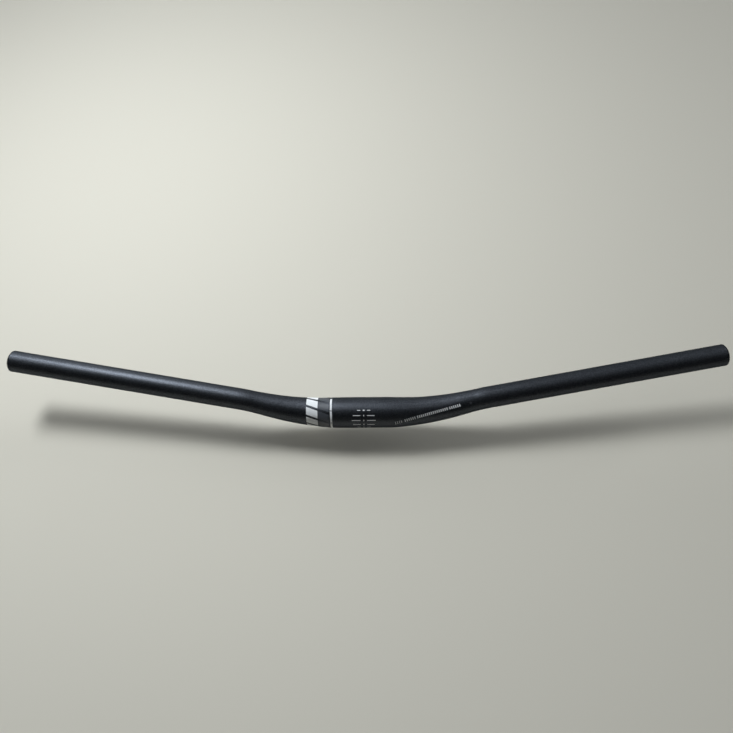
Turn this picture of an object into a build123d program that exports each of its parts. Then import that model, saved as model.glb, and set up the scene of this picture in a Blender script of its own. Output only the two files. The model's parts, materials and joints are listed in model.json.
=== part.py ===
from build123d import *
import os
from math import radians, tan

# A riser handlebar drawn from one aluminium tube, in millimetres and degrees.
# The origin is the middle of the stem clamp: +X runs along the clamp, +Y back to the rider, +Z up.

# Whole bar
bar_width = 730.0          # between the centres of the two end faces
rise_angle = 12.0          # climb of the shoulders as they leave the clamp
upsweep = 5.0              # climb of the grip sections
backsweep = 8.5            # how far shoulders and grip sections turn back

# Tube outside
clamp_diameter = 31.8      # held by the stem
clamp_length = 50.0        # straight section in the middle
grip_diameter = 22.2       # carries grips, levers and shifters
taper_ease = 10.0          # length over which the shoulder's taper starts and stops

# Bends, measured on the tube's centreline
rise_bend_radius = 290.0   # from the clamp section into the shoulder
link_length = 20.0         # straight end of the shoulder, where the taper runs out
grip_bend_radius = 100.0   # from the shoulder into the grip section

# Butted wall
clamp_wall = 2.5           # clamp section and shoulders
grip_wall = 1.9            # grip sections
butt_length = 60.0         # slope inside the tube between the two walls

# Edges of the open ends
outer_edge = 0.7
inner_edge = 0.4

# How the shoulder is drawn
shoulder_sections = 40     # evenly spaced circles that the tapered, bent shoulder passes through
shoulder_guide = 1.0       # one more circle this far inside each end makes it leave in line

clamp_radius = clamp_diameter / 2
grip_radius = grip_diameter / 2
clamp_edge = clamp_length / 2


def heading(climb, sweep):
    """Unit direction of a tube that leaves the clamp to the right, climbing and sweeping back."""
    return Vector(1, tan(radians(sweep)), tan(radians(climb))).normalized()


def corner_length(before, after, radius):
    """Distance from the corner of two straight runs to where the bend between them starts."""
    return radius * tan(radians(before.get_angle(after)) / 2)


# Centreline of the right half, from the middle of the clamp to the end face
along_clamp = Vector(1, 0, 0)
along_shoulder = heading(rise_angle, backsweep)
along_grip = heading(upsweep, backsweep)
rise_corner_length = corner_length(along_clamp, along_shoulder, rise_bend_radius)
grip_corner_length = corner_length(along_shoulder, along_grip, grip_bend_radius)

rise_corner = along_clamp * (clamp_edge + rise_corner_length)
grip_corner = rise_corner + along_shoulder * (rise_corner_length + link_length + grip_corner_length)
tube_end = grip_corner + along_grip * ((bar_width / 2 - grip_corner.X) / along_grip.X)
centreline = FilletPolyline(
    Vector(0, 0, 0),
    rise_corner,
    grip_corner,
    tube_end,
    radius=[rise_bend_radius, grip_bend_radius],
)

# Distances along the centreline from the middle of the bar
clamp_run, rise_bend, link, grip_bend, grip_run = centreline.edges().sort_by(Axis.X)
shoulder_end = clamp_run.length + rise_bend.length + link.length
grip_start = shoulder_end + grip_bend.length
butt_end = grip_start + butt_length
tube_length = grip_start + grip_run.length
taper_length = shoulder_end - clamp_edge

from_base = (Align.CENTER, Align.CENTER, Align.MIN)


def outside_radius(station):
    """Outer radius at a distance from the middle: a cone that eases in and out of two cylinders."""
    steepness = 1 / (taper_length - taper_ease)
    run = min(max(station - clamp_edge, 0), taper_length)
    rest = taper_length - run
    if run < taper_ease:
        share = steepness * run**2 / (2 * taper_ease)
    elif rest < taper_ease:
        share = 1 - steepness * rest**2 / (2 * taper_ease)
    else:
        share = steepness * (run - taper_ease / 2)
    return clamp_radius + (grip_radius - clamp_radius) * share


def square_plane(station):
    """A plane square to the centreline, at a distance from the middle of the bar."""
    along = centreline.tangent_at(station, position_mode=PositionMode.LENGTH)
    place = centreline.position_at(station, position_mode=PositionMode.LENGTH)
    return Plane(origin=place, x_dir=(0, 0, 1), z_dir=along)


def shoulder(inset):
    """The bent taper that leaves the clamp section, set in from the outside by a wall."""
    spacing = taper_length / (shoulder_sections - 1)
    stations = [clamp_edge + i * spacing for i in range(shoulder_sections)]
    stations += [clamp_edge + shoulder_guide, shoulder_end - shoulder_guide]
    return loft([square_plane(s) * Circle(outside_radius(s) - inset) for s in sorted(stations)])


def outer_bend(radius):
    """The bend of one diameter between shoulder and grip section."""
    return sweep(square_plane(shoulder_end) * Circle(radius), path=grip_bend)


def straight_tube(start, end, radius):
    """A solid cylinder along the straight grip section."""
    return square_plane(start) * Cylinder(radius, end - start, align=from_base)


def straight_cone(start, end, start_radius, end_radius):
    """A solid cone along the straight grip section."""
    return square_plane(start) * Cone(start_radius, end_radius, end - start, align=from_base)


def both_sides(half):
    """A right half and its mirror image."""
    return half + mirror(half, about=Plane.YZ)


def break_edge(tube, which, size):
    """Chamfer the inner (0) or outer (-1) rim of both cut ends, the tube's only flat faces."""
    ends = tube.faces().filter_by(GeomType.PLANE)
    return chamfer([face.edges().sort_by(SortBy.RADIUS)[which] for face in ends], size)


# The tube from outside
clamp_section = square_plane(0) * Cylinder(clamp_radius, clamp_length)
outer_half = (
    shoulder(0)
    + outer_bend(grip_radius)
    + straight_tube(grip_start, tube_length, grip_radius)
)
outside = clamp_section + both_sides(outer_half)

# The bore: a thick wall through clamp and shoulders, then a slope out to the thinner wall
thick_bore = grip_radius - clamp_wall
thin_bore = grip_radius - grip_wall
clamp_bore = square_plane(0) * Cylinder(clamp_radius - clamp_wall, clamp_length)
bore_half = (
    shoulder(clamp_wall)
    + outer_bend(thick_bore)
    + straight_cone(grip_start, butt_end, thick_bore, thin_bore)
    + straight_tube(butt_end, tube_length, thin_bore)
)
bore = clamp_bore + both_sides(bore_half)

# The cut ends, with their edges broken
handlebar = outside - bore
handlebar = break_edge(handlebar, -1, outer_edge)
handlebar = break_edge(handlebar, 0, inner_edge)

os.makedirs("parts", exist_ok=True)
export_step(handlebar, "parts/handlebar.step")
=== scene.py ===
# %% [markdown]
# # A riser handlebar
# A riser bar is bent from one aluminium tube: a thick straight middle that the stem clamps, two
# shoulders that taper while they climb, and two straight ends for grips and levers. Its shape comes
# ready from CAD at its real size, so this lesson adds what CAD leaves out: the blasted black finish,
# the printed marks, a floor, light and a camera. The tube is loaded as a fixed frame, in metres, and
# nothing here moves it.

# %% Load the tube
import json
from math import cos, pi, radians, sin

import bpy
from mathutils import Euler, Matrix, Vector

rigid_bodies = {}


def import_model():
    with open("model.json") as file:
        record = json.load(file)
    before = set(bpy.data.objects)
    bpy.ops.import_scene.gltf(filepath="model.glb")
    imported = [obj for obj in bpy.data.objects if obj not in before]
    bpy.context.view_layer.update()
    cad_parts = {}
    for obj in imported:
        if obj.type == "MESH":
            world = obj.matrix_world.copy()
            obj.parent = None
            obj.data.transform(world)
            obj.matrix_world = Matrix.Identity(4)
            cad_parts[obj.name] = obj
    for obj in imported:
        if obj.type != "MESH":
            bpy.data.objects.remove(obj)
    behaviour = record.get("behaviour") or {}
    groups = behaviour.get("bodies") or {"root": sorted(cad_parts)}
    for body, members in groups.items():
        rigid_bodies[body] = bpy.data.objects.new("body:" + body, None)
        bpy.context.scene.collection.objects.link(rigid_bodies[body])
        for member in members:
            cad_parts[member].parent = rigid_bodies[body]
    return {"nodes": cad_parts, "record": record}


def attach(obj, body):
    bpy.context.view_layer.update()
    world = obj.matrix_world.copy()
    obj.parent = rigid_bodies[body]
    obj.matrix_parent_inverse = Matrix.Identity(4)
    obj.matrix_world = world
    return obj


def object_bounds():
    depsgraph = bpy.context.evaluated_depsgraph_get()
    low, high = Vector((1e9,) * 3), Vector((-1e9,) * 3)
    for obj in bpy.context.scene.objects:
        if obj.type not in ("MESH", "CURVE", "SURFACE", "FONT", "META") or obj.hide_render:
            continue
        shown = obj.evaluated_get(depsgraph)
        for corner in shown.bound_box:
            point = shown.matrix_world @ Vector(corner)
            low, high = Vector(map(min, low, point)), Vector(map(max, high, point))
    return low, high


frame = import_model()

mm = 0.001
cad_low, cad_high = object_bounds()
tube = frame["nodes"]["handlebar"]
mounts = {mount["name"]: mount for mount in frame["record"]["mounts"]}
print("tube:", len(tube.data.polygons), "triangles, size", tuple(cad_high - cad_low))

# %% [markdown]
# ## The camera
# The bar is seen from the front and well above, from a little to the right of its middle. A camera
# could be pushed about by eye until the outlines meet. Here its place is worked out instead: the
# focal length and the pixel where the middle of the clamp shows give a direction, and one depth along
# it gives the place.

# %% Place the camera
picture_side = 733                    # pixels, the same both ways
focal_length = 633.0                  # pixels
clamp_pixel = Vector((364.1, 412.4))
clamp_depth = 656.2 * mm
camera_elevation = radians(59.63)
camera_yaw = radians(1.42)
camera_roll = radians(-0.48)

turn = Euler((radians(90) - camera_elevation, camera_yaw, camera_roll), "ZYX").to_matrix()
off_centre = (clamp_pixel - Vector((picture_side, picture_side)) / 2) / focal_length
bpy.ops.object.camera_add(
    location=turn @ Vector((-off_centre.x, off_centre.y, 1)) * clamp_depth,
    rotation=turn.to_euler(),
)
camera = bpy.context.object
camera.data.lens = camera.data.sensor_width * focal_length / picture_side
bpy.context.scene.camera = camera
bpy.context.scene.view_settings.view_transform = "Standard"
print("camera at", tuple(camera.location), "with a lens of", camera.data.lens, "mm")

# %% [markdown]
# ## Shader sums as plain Python
# A finish is a small sum: so much grain, less here, smoother there. Wiring each step by hand hides
# that sum, so one class wraps a node's output. Adding or multiplying two of them adds the Math node
# that does it, and one method makes any other kind of node, with its settings first and then its
# sockets.

# %% Wrap a node's output
def fill_sockets(node, values):
    """Link or set a node's input sockets, given by name or number."""
    for name, value in values.items():
        if isinstance(value, Socket):
            node.id_data.links.new(value.output, node.inputs[name])
        else:
            node.inputs[name].default_value = value


class Socket:
    """The output of a node, for use in sums such as 1 - mask * 0.5."""

    def __init__(self, output):
        self.output = output

    def node(self, kind, settings, values, output=0):
        """Add any node to the same material, set it up, and return one of its outputs."""
        made = self.output.id_data.nodes.new(kind)
        for name, value in settings.items():
            setattr(made, name, value)
        fill_sockets(made, values)
        return Socket(made.outputs[output])

    def math(self, operation, first, second):
        return self.node("ShaderNodeMath", {"operation": operation}, {0: first, 1: second})

    def __add__(self, other):
        return self.math("ADD", self, other)

    def __sub__(self, other):
        return self.math("SUBTRACT", self, other)

    def __rsub__(self, other):
        return self.math("SUBTRACT", other, self)

    def __mul__(self, other):
        return self.math("MULTIPLY", self, other)

    __radd__ = __add__
    __rmul__ = __mul__


# %% Nodes that the finishes share
def start_material(name):
    """A new material, and the place of each point in the piece's own coordinates."""
    material = bpy.data.materials.new(name)
    material.use_nodes = True
    coordinates = material.node_tree.nodes.new("ShaderNodeTexCoord")
    return material, Socket(coordinates.outputs["Object"])


def set_shader(material, values):
    """Fill the sockets of the material's one shader."""
    fill_sockets(material.node_tree.nodes["Principled BSDF"], values)


def noise(place, size):
    """Soft random spots of about this size, from 0 to 1."""
    return place.node("ShaderNodeTexNoise", {}, {"Vector": place, "Scale": 1 / size})


def rise(value, low, high):
    """0 below low, 1 above high, and an eased step between them."""
    settings = {"interpolation_type": "SMOOTHSTEP"}
    limits = {"Value": value, "From Min": low, "From Max": high}
    return value.node("ShaderNodeMapRange", settings, limits)


def mix_colours(share, first, second):
    """The first colour where share is 0, the second where it is 1."""
    settings = {"data_type": "RGBA"}
    return share.node("ShaderNodeMix", settings, {0: share, 6: first, 7: second}, output=2)


def vectors(operation, first, second, output="Vector"):
    """One sum on two vectors, which gives a vector or a value."""
    settings = {"operation": operation}
    return first.node("ShaderNodeVectorMath", settings, {0: first, 1: second}, output)


def bumps(height, depth):
    """A surface normal that follows a height from 0 to 1, this deep."""
    return height.node("ShaderNodeBump", {}, {"Height": height, "Distance": depth})


# %% [markdown]
# ## Blasted black anodising
# The tube is blasted with fine beads, which leaves a grain too small to see one by one, and is then
# dyed black. From a step away the grain shows as a broad soft gleam that breaks up slightly. A
# photograph of metal would give such a grain, but only from one side, so it is made from three sizes
# of noise: broad clouds, the mottled gleam, and the grain itself. Most of the mottling goes into the
# tone, because as bumps alone it would look like leather.
#
# A black paint with gloss on top turns pale at the rim of a tube. Dyed aluminium stays darker there,
# so it is shaded as a very dark metal, and a tint takes its rim down by half. The cut ends differ:
# their edges were turned smooth, and a band of painted shade makes the black darker there. Their
# faces carry fine rings, and the bore keeps the long streaks of drawing.

# %% Find the ends of the tube
mouth = mounts["end_bore_right"]
mouth_place = Vector(mouth["pos_m"])
mouth_axis = Vector(mouth["axis"])
bore_radius = mouth["dims"]["r_mm"] * mm
mouth_depth = 1.0 * mm                # from the end face to the place that the mount names

anodising, place = start_material("black_anodised")
either_side = vectors("ABSOLUTE", place, place)     # so the left end counts as a right one
from_mouth = vectors("SUBTRACT", either_side, mouth_place)
past_mouth = vectors("DOT_PRODUCT", from_mouth, mouth_axis, "Value")
lengthwise = past_mouth.node(
    "ShaderNodeVectorMath", {"operation": "SCALE"}, {0: mouth_axis, "Scale": past_mouth}
)
crosswise = vectors("SUBTRACT", from_mouth, lengthwise)
from_axis = vectors("LENGTH", crosswise, crosswise, "Value")
print("the right end is at", tuple(mouth_place + mouth_axis * mouth_depth))

# %% Masks for edge, face and bore
turned_width = 1.3 * mm
bore_reach = 230 * mm                 # how far in from the mouth the streaks are drawn
soft = 0.15 * mm                      # width of each mask's own edge

# the turned band is smoother, and its black is also painted darker, as shade on the rim of each end
turned = rise(past_mouth, mouth_depth - turned_width - soft, mouth_depth - turned_width)
end_face = rise(past_mouth, mouth_depth - soft, mouth_depth)
near_end = rise(past_mouth, -bore_reach, -bore_reach + soft)
bore = (1 - rise(from_axis, bore_radius + soft, bore_radius + 2 * soft)) * near_end
print("bore:", bore_radius / mm, "mm in radius, turned edge:", turned_width / mm, "mm wide")

# %% Clouds, mottling, grain, streaks and rings
cloud_size = 18 * mm
mottle_size = 1.3 * mm
grain_size = 0.35 * mm
streak_size = 0.7 * mm
ring_pitch = 0.25 * mm
ring_wobble = 0.2 * mm                # how far a ring strays from a true circle
wobble_size = 9 * mm

clouds = noise(place, cloud_size)
mottle = noise(place, mottle_size)
grain = noise(place, grain_size)
streaks = noise(crosswise, streak_size)
ring_turns = (from_axis + noise(place, wobble_size) * ring_wobble) * (2 * pi / ring_pitch)
rings = ring_turns.math("SINE", ring_turns, 0.0)
print("grain:", grain_size / mm, "mm, mottling:", mottle_size / mm, "mm, clouds:", cloud_size / mm, "mm")

# %% A faint rub on the right shoulder
rub_place = Vector((107.9, 0.27, 19.0)) * mm
rub_core = 0.5 * mm
rub_reach = 1.8 * mm
rub_limits = (0.35, 0.6)              # mottling below stays black, above is rubbed

rub_distance = vectors("DISTANCE", place, rub_place, "Value")
rub = (1 - rise(rub_distance, rub_core, rub_reach)) * rise(mottle, *rub_limits)
print("rub:", rub_reach / mm, "mm round", tuple(rub_place))

# %% Tone of the black
deep_black = (0.039, 0.042, 0.048, 1)
dusty_black = (0.082, 0.087, 0.097, 1)
rubbed_grey = (0.20, 0.21, 0.23, 1)
# painted shade: a darker black in a narrow band at each end, for the dark rim of the tube's ends
painted_rim_shade = (0.016, 0.017, 0.020, 1)
mottle_limits = (0.3, 0.7)
mottle_share = 0.7                    # of the change in tone, and the clouds have the rest

dust = rise(mottle, *mottle_limits) * mottle_share + clouds * (1 - mottle_share)
black = mix_colours(dust, deep_black, dusty_black)
worn_black = mix_colours(rub, black, rubbed_grey)
# painted shade on the turned rim at each end
tone = mix_colours(turned, worn_black, painted_rim_shade)
print("black: from", deep_black[:3], "to", dusty_black[:3])

# %% Height of the surface
relief_depth = 0.04 * mm
mottle_height = 0.2                   # this and the next three are shares of the depth
grain_height = 0.8
ring_height = 0.15
streak_height = 0.5

blasted = (1 - turned) * (1 - bore)
blast_marks = (mottle * mottle_height + grain * grain_height) * blasted
cut_marks = rings * end_face * ring_height
draw_marks = streaks * bore * streak_height
relief = blast_marks + cut_marks + draw_marks
print("relief:", relief_depth / mm, "mm deep")

# %% Put the anodising on the tube
blasted_roughness = 0.38
cloud_roughness = 0.05
mottle_roughness = 0.06
turned_gloss = 0.15                   # taken off the roughness, as is the next
bore_gloss = 0.10
rim_tint = (0.48, 0.50, 0.52, 1)

unevenness = clouds * cloud_roughness + mottle * mottle_roughness
set_shader(anodising, {
    "Base Color": tone,
    "Metallic": 1.0,
    "Roughness": blasted_roughness + unevenness - turned * turned_gloss - bore * bore_gloss,
    "Specular Tint": rim_tint,
    "Normal": bumps(relief, relief_depth),
})
tube.data.materials.clear()
tube.data.materials.append(anodising)
print(anodising.name, "has", len(anodising.node_tree.nodes), "nodes")

# %% [markdown]
# ## Printed marks
# Every mark on the bar is a thin film of ink that lies on the anodising and follows its curve. A
# colour mask in the anodising would have no edge of its own, and a flat shape would have to be bent
# and tapered just as the tube is. So each mark is cut from a copy of the tube's own skin, as a
# sticker is cut from a sheet: flat cuts trim it on every side, and then it gets the thickness of ink,
# outwards.

# %% Tools for cutting
def edit_alone(piece):
    """Select one piece and nothing else, and open all of its mesh for editing."""
    bpy.ops.object.select_all(action="DESELECT")
    piece.select_set(True)
    bpy.context.view_layer.objects.active = piece
    bpy.ops.object.mode_set(mode="EDIT")
    bpy.ops.mesh.select_all(action="SELECT")


def copy_mesh(piece, name):
    """A new object with its own copy of the piece's mesh."""
    copy = bpy.data.objects.new(name, piece.data.copy())
    bpy.context.collection.objects.link(copy)
    return copy


def trim(piece, cuts):
    """Cut along planes. Each is a point and the direction of the side that stays."""
    edit_alone(piece)
    for point, inward in cuts:
        bpy.ops.mesh.select_all(action="SELECT")
        bpy.ops.mesh.bisect(plane_co=point, plane_no=inward, clear_inner=True)
    bpy.ops.object.mode_set(mode="OBJECT")
    return piece


def cut_out(sheet, cuts):
    """A patch trimmed from a copy, so that the sheet stays whole."""
    return trim(copy_mesh(sheet, "patch"), cuts)


# %% Peel the skin where there is print
along_bar = Vector((1, 0, 0))
skin_left = -75 * mm
skin_right = 115 * mm
weld = 0.001 * mm                     # corners nearer than this become one

skin = copy_mesh(tube, "skin")
edit_alone(skin)
bpy.ops.mesh.customdata_custom_splitnormals_clear()
bpy.ops.mesh.remove_doubles(threshold=weld)
bpy.ops.object.mode_set(mode="OBJECT")
trim(skin, [(along_bar * skin_left, along_bar), (along_bar * skin_right, -along_bar)])
print("skin with the wall of the bore:", len(skin.data.polygons), "faces")

# %% Drop the wall of the bore, which the cuts have parted from the outside
edit_alone(skin)
bpy.ops.mesh.select_all(action="DESELECT")
bpy.ops.object.mode_set(mode="OBJECT")
min(skin.data.vertices, key=lambda vertex: vertex.co.z).select = True
bpy.ops.object.mode_set(mode="EDIT")
bpy.ops.mesh.select_linked()
bpy.ops.mesh.select_all(action="INVERT")
bpy.ops.mesh.delete(type="VERT")
bpy.ops.object.mode_set(mode="OBJECT")
print("skin:", len(skin.data.polygons), "faces")

# %% [markdown]
# ### Ink
# Screen ink dries half matt and a little uneven: its tone shifts by a few percent and its surface is
# slightly dimpled. Plain white would look like paper, so both inks get that unevenness from noise.

# %% How ink dries
patch_size = 3 * mm
dimple_size = 0.5 * mm
patch_share = 0.7                     # of the change in tone, and the dimples have the rest
dimple_roughness = 0.12
dimple_depth = 0.01 * mm


def mix_ink(name, thin_colour, full_colour, roughness):
    """A printed ink whose tone and gloss vary a little."""
    ink, ink_place = start_material(name)
    patchy = noise(ink_place, patch_size)
    dimples = noise(ink_place, dimple_size)
    cover = patchy * patch_share + dimples * (1 - patch_share)
    set_shader(ink, {
        "Base Color": mix_colours(cover, thin_colour, full_colour),
        "Roughness": roughness + dimples * dimple_roughness,
        "Normal": bumps(dimples, dimple_depth),
    })
    return ink


# %% Mix the inks
thin_white = (0.68, 0.69, 0.69, 1)
full_white = (0.84, 0.84, 0.83, 1)
white_roughness = 0.55
thin_grey = (0.044, 0.048, 0.056, 1)
full_grey = (0.070, 0.076, 0.086, 1)
grey_roughness = 0.35

inks = {
    "white_print": mix_ink("white_print", thin_white, full_white, white_roughness),
    "grey_print": mix_ink("grey_print", thin_grey, full_grey, grey_roughness),
}
print("inks:", ", ".join(inks))

# %% Turn patches of skin into a film
ink_thickness = 0.05 * mm
smooth_below = radians(30)


def lay_ink(name, patches, slot):
    """Join patches, thicken them outwards, colour them and fix them to the bar."""
    bpy.ops.object.select_all(action="DESELECT")
    for patch in patches:
        patch.select_set(True)
    bpy.context.view_layer.objects.active = patches[0]
    bpy.ops.object.join()
    film = bpy.context.object
    film.name = name
    film.data.name = name
    thickness = film.modifiers.new("thickness", "SOLIDIFY")
    thickness.thickness = ink_thickness
    thickness.offset = 1
    bpy.ops.object.modifier_apply(modifier=thickness.name)
    bpy.ops.object.shade_smooth_by_angle(angle=smooth_below)
    film.data.materials.clear()
    film.data.materials.append(inks[slot])
    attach(film, "root")
    print(name + ":", len(patches), "patches,", len(film.data.polygons), "faces")


# %% Directions round the tube, from the front (0 degrees) over the top (90 degrees)
def outward(angle):
    """Straight out from the axis."""
    return Vector((0, -cos(radians(angle)), sin(radians(angle))))


def onward(angle):
    """Along the surface, the way the angle grows."""
    return Vector((0, sin(radians(angle)), cos(radians(angle))))


# %% [markdown]
# ### Ring stripe
# A white stripe goes right round the left shoulder beside the clamp. A print pad reaches at most half
# way round, so such a stripe is printed in stretches, which leave seams between them: hairlines at
# the front and below, and a wider one behind the top.

# %% Print the ring stripe
stripe_middle = along_bar * -33.4 * mm
stripe_width = 2.0 * mm
stripe_lean = 0.018                   # it stands a hair off square
seams = [                             # degrees round the tube, and width
    (22, 0.4 * mm),
    (70, 0.8 * mm),
    (136, 5.4 * mm),
    (250, 0.8 * mm),
]

stripe_square = Vector((1, stripe_lean, 0)).normalized()
stripe_sides = [
    (stripe_middle - stripe_square * stripe_width / 2, stripe_square),
    (stripe_middle + stripe_square * stripe_width / 2, -stripe_square),
]
stretches = []
for (first, first_gap), (last, last_gap) in zip(seams, seams[1:] + seams[:1]):
    stretches.append(cut_out(skin, stripe_sides + [
        (onward(first) * first_gap / 2, onward(first)),
        (onward(last) * -last_gap / 2, -onward(last)),
    ]))
lay_ink("ring_stripe", stretches, "white_print")

# %% [markdown]
# ### Slanted flashes
# Left of the stripe a band of print goes round the shoulder: slanted flashes, white in the outer half
# and grey in the inner half. Each flash is a slice between two slanted cuts through the middle of the
# tube, so the same slices serve both colours, and only the ends differ.

# %% Print the flashes
flash_count = 9
flash_pitch = 360 / flash_count
flash_share = 0.76                    # of the pitch, and the rest is gap
flash_slant = radians(20)
white_ends = (-58.6 * mm, -47.0 * mm)
grey_ends = (-46.4 * mm, -35.6 * mm)

band = cut_out(skin, [
    (along_bar * white_ends[0], along_bar),
    (along_bar * grey_ends[1], -along_bar),
])
band_low = Vector(map(min, *(vertex.co for vertex in band.data.vertices)))
band_high = Vector(map(max, *(vertex.co for vertex in band.data.vertices)))
band_middle = (band_low + band_high) / 2


def flashes(ends):
    """Slices of the band between two ends, all the way round."""
    lean = along_bar * sin(flash_slant)
    made = []
    for i in range(flash_count):
        first = i * flash_pitch
        last = first + flash_pitch * flash_share
        made.append(cut_out(band, [
            (along_bar * ends[0], along_bar),
            (along_bar * ends[1], -along_bar),
            (band_middle, onward(first) * cos(flash_slant) + lean),
            (band_middle, -onward(last) * cos(flash_slant) - lean),
        ]))
    return made


lay_ink("white_flashes", flashes(white_ends), "white_print")
lay_ink("grey_flashes", flashes(grey_ends), "grey_print")

# %% [markdown]
# ### Clamp scale
# A small scale in the middle helps to centre the bar in the stem and to turn it to the same angle
# again: five rows of two dashes with a tick between them. Straight cuts side by side keep each dash
# equally thick, and one more cut through the axis keeps the copy on the far side of the tube out.

# %% Print the clamp scale
top_row = 71.5                        # degrees
row_pitch = 19.4                      # degrees
dash_reach = [6.7 * mm, 11.0 * mm, 12.2 * mm, 11.0 * mm, 6.7 * mm]
dash_start = 3.4 * mm
dash_thickness = 0.8 * mm
tick_width = 0.9 * mm
tick_height = 1.6 * mm
top_tick_width = 1.8 * mm
top_tick_height = 1.2 * mm


def scale_mark(angle, start, end, height):
    """A rectangle on the clamp section, at an angle round it and between two places along it."""
    return cut_out(skin, [
        (along_bar * start, along_bar),
        (along_bar * end, -along_bar),
        (onward(angle) * -height / 2, onward(angle)),
        (onward(angle) * height / 2, -onward(angle)),
        (Vector(), outward(angle)),
    ])


marks = []
for row, reach in enumerate(dash_reach):
    angle = top_row - row * row_pitch
    width, height = (tick_width, tick_height) if row else (top_tick_width, top_tick_height)
    marks.append(scale_mark(angle, -reach, -dash_start, dash_thickness))
    marks.append(scale_mark(angle, dash_start, reach, dash_thickness))
    marks.append(scale_mark(angle, -width / 2, width / 2, height))
lay_ink("clamp_scale", marks, "white_print")

# %% [markdown]
# ### Line of small ticks
# A slanting line of small ticks, in four groups, follows the right shoulder. It is printed by a flat
# pad pressed on from the front and above, so its cuts all run along the direction of the pad, as a
# biscuit cutter's walls do.

# %% Print the line of ticks
pad_angle = 60.0                      # degrees from the front
line_slope = radians(15.5)
line_start = (32.1 * mm, -10.4 * mm)  # on the pad, from the middle of the clamp
line_height = 2.8 * mm
tick_pitch = 2.05 * mm
tick_groups = [                       # start along the line, number of ticks, width of each
    (0, 4, 0.5 * mm),
    (9.9 * mm, 6, 0.8 * mm),
    (22.9 * mm, 16, 1.0 * mm),
    (56.5 * mm, 6, 1.1 * mm),
]

pad_up = onward(pad_angle)
line_origin = along_bar * line_start[0] + pad_up * line_start[1]
line_along = along_bar * cos(line_slope) + pad_up * sin(line_slope)
line_up = pad_up * cos(line_slope) - along_bar * sin(line_slope)
ticks = []
for group_start, count, width in tick_groups:
    for i in range(count):
        left = line_origin + line_along * (group_start + i * tick_pitch)
        ticks.append(cut_out(skin, [
            (left, line_along),
            (left + line_along * width, -line_along),
            (line_origin - line_up * line_height / 2, line_up),
            (line_origin + line_up * line_height / 2, -line_up),
            (Vector(), outward(pad_angle)),
        ]))
lay_ink("tick_line", ticks, "white_print")

# %% Put the cutting sheets away
for sheet in (skin, band):
    bpy.data.objects.remove(sheet)

# %% [markdown]
# ## Floor and light
# In use the stem holds the bar in the air, so a plain pale floor lies a little below it, near enough
# for the shadow to stay close to the tube. One soft lamp behind the left shoulder makes the long
# gleam that fades to the right. A second lamp, far off behind on the right, evens out the floor and
# leaves the gleam alone. A third, large and dim, stands low behind on the left and lifts the upper
# edge of the tube there. The sky is pale behind the bar, where the top of the tube mirrors it, and
# dark on the camera's side, so that the lower half stays black.

# %% Lay the floor
floor_gap = 17 * mm
floor_side = 14.0
floor_colour = (0.63, 0.59, 0.50, 1)
floor_roughness = 0.8
floor_gloss = 0.2

floor_finish = bpy.data.materials.new("floor")
floor_finish.use_nodes = True
set_shader(floor_finish, {
    "Base Color": floor_colour,
    "Roughness": floor_roughness,
    "Specular IOR Level": floor_gloss,
})
bpy.ops.mesh.primitive_plane_add(size=floor_side, location=(0, 0, cad_low.z - floor_gap))
floor = bpy.context.object
floor.name = "floor"
floor.data.materials.append(floor_finish)
print("floor:", floor_side, "m wide, at a height of", floor.location.z, "m")

# %% Hang the lamps
lamp_tint = (0.88, 0.94, 1.0)
lamps = [                             # name, place and side in metres, power in watts
    ("gleam_lamp", Vector((-0.475, 0.475, 0.90)), 0.3, 10.3),
    ("fill_lamp", Vector((5.6, 2.9, 2.60)), 3.2, 180.0),
    ("back_lamp", Vector((-0.85, 2.12, 0.69)), 1.0, 5.5),
]


def hang_lamp(name, place, side, power):
    """A square soft lamp that faces the middle of the bar."""
    bpy.ops.object.light_add(type="AREA", location=place)
    lamp = bpy.context.object
    lamp.name = name
    lamp.rotation_euler = (-place).to_track_quat("-Z", "Y").to_euler()
    lamp.data.size = side
    lamp.data.energy = power
    lamp.data.color = lamp_tint
    print(name, "hangs", round(place.length, 2), "m from the clamp")


for lamp_facts in lamps:
    hang_lamp(*lamp_facts)

# %% Set the sky
dark_side = 0.04
pale_side = 0.37
behind = Vector((0, 1, 0))
dark_until = -0.5                     # 1 is straight behind the bar, -1 straight in front
pale_from = 0.4

sky = bpy.data.worlds.new("sky")
bpy.context.scene.world = sky
sky.use_nodes = True
sky_way = Socket(sky.node_tree.nodes.new("ShaderNodeTexCoord").outputs["Generated"])
backwards = vectors("DOT_PRODUCT", sky_way, behind, "Value")
fill_sockets(sky.node_tree.nodes["Background"], {
    "Color": (*lamp_tint, 1),
    "Strength": dark_side + (pale_side - dark_side) * rise(backwards, dark_until, pale_from),
})
print("sky:", dark_side, "in front,", pale_side, "behind")
